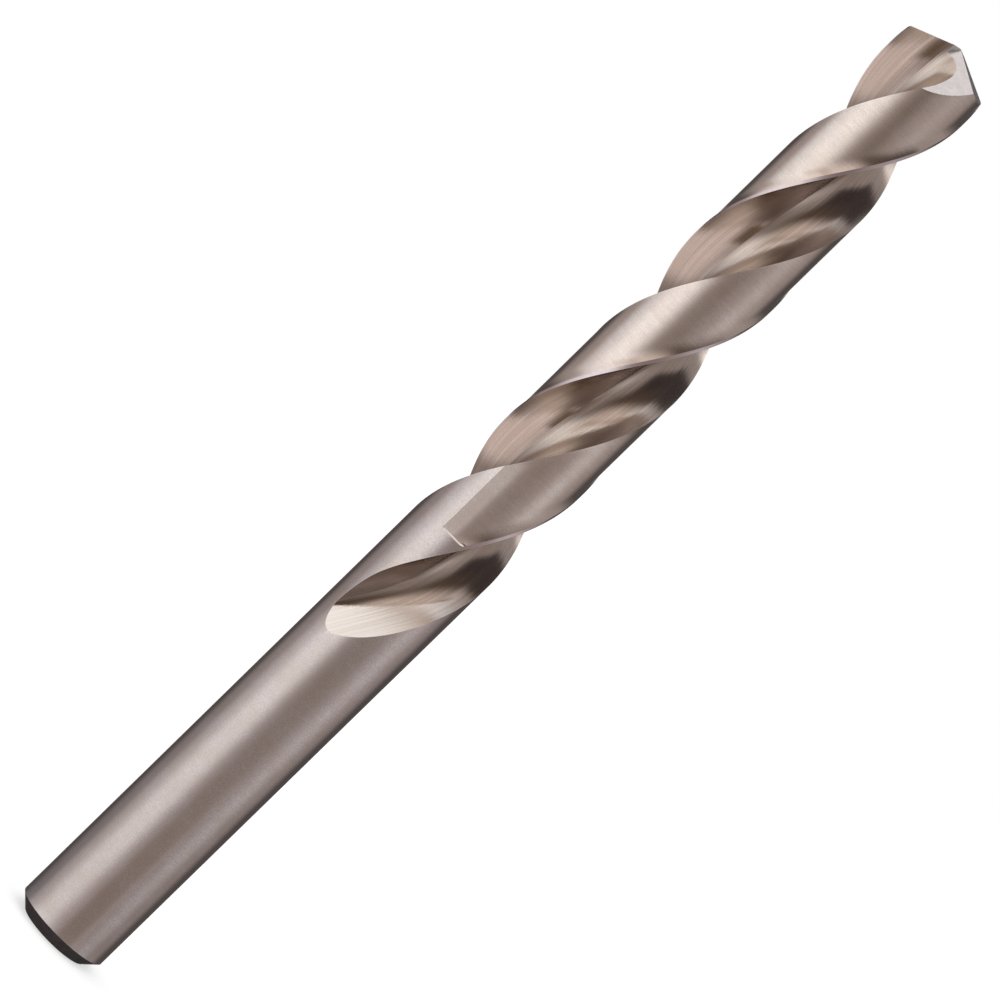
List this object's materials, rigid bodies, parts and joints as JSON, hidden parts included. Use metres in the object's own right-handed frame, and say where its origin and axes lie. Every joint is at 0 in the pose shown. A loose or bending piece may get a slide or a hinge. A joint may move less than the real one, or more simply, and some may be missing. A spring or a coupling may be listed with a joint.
{
  "type": "twist drill bit",
  "caption": "Straight-shank jobber twist drill bit for metal, with right-hand helical flutes and a split point.",
  "frame": {"origin": "centre of the flat end face of the shank", "axes": "+Z along the drill's axis from the shank end to the tip; at the point the cutting lips run along X"},
  "size_m": [0.013, 0.013, 0.151],
  "materials": {
    "steel": "ground high-speed cobalt steel with a faint bronze tint"
  },
  "bodies": {
    "root": {"twist_drill": "steel"}
  },
  "joints": []
}
